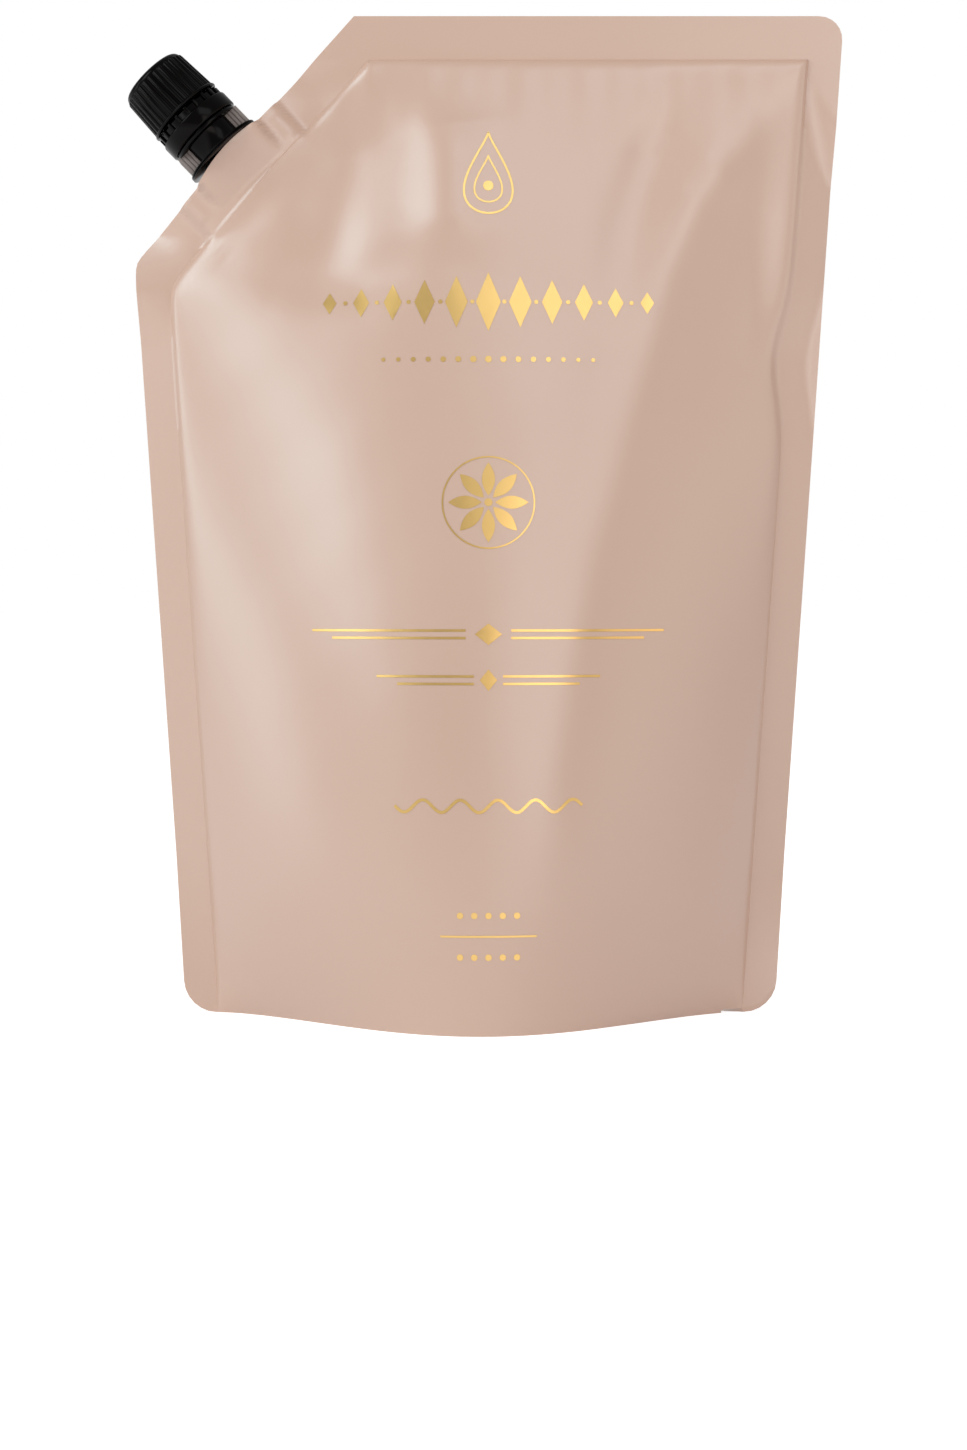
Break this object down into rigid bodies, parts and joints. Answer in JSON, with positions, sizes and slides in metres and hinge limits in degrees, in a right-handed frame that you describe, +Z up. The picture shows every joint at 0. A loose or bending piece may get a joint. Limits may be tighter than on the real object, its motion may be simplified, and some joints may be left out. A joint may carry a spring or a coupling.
{
  "type": "hand soap refill pack",
  "caption": "Filled stand-up film pouch of liquid hand soap with a base gusset, heat-sealed edges and a screw-capped spout in its cut top corner.",
  "frame": {"origin": "middle of the flat patch of gusset that the filled pouch stands on", "axes": "+Z up, -Y out of the front panel, +X to the right seen from the front; the side and top seals lie in the plane y = 0"},
  "size_m": [0.1809, 0.0782, 0.252],
  "materials": {
    "film": "satin",
    "spout_plastic": "satin",
    "cap_plastic": "satin",
    "foil": "satin"
  },
  "bodies": {
    "root": {"pouch": "film", "spout": "spout_plastic"},
    "tamper_ring": {"tamper_ring": "cap_plastic"},
    "cap": {"cap": "cap_plastic"}
  },
  "joints": [
    {"name": "cap_turn", "type": "hinge", "parent": "root", "child": "tamper_ring", "pos_m": [-0.06369, 0, 0.21654], "axis": [-0.6974, 0, 0.7167], "range_deg": [0, 1080]},
    {"name": "cap_rise", "type": "slide", "parent": "tamper_ring", "child": "cap", "axis": [-0.6974, 0, 0.7167], "range_m": [0, 0.012]}
  ],
  "couplings": [
    {"joint": "cap_rise", "follows": "cap_turn", "m_per_rad": 0.0006366}
  ]
}
